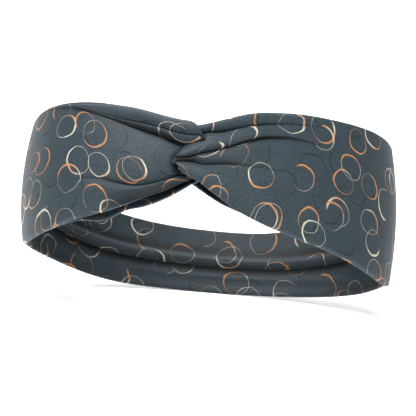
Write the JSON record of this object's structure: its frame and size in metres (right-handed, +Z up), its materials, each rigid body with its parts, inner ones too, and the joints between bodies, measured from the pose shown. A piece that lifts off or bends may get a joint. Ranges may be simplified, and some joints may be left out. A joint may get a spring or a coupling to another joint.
{
  "type": "knotted headband",
  "caption": "Wide soft fabric headband, folded double, with a twisted knot at the forehead and folded edges inside the back; it stretches over a head.",
  "frame": {"origin": "middle of the head opening, halfway between forehead and back and between the loop's two sides", "axes": "+X to the viewer's right with the knot facing the viewer, +Y from the forehead to the back of the head, +Z up; the loop slopes 28 degrees down towards the back, as a headband is worn"},
  "size_m": [0.19, 0.1408, 0.1053],
  "materials": {
    "outer_jersey": "brushed slate jersey with scattered copper and cream brush-stroke rings",
    "inner_jersey": "the same printed slate jersey, in the shade of the folds",
    "sewing_thread": "matt polyester thread"
  },
  "bodies": {
    "front_band": {"left_outer_panel": "outer_jersey", "right_outer_panel": "outer_jersey", "left_inner_panel": "inner_jersey", "right_inner_panel": "inner_jersey", "left_knot_bight": "outer_jersey", "right_knot_bight": "outer_jersey", "closing_seam_allowance": "inner_jersey", "closing_seam_thread": "sewing_thread"},
    "back_band": {"back_outer_layer": "outer_jersey", "back_upper_flap": "inner_jersey", "back_lower_flap": "inner_jersey"}
  },
  "joints": [
    {"name": "back_stretch", "type": "slide", "parent": "front_band", "child": "back_band", "axis": [0, 0.8829, -0.4695], "range_m": [0, 0.025], "stiffness_N_per_m": 120}
  ]
}
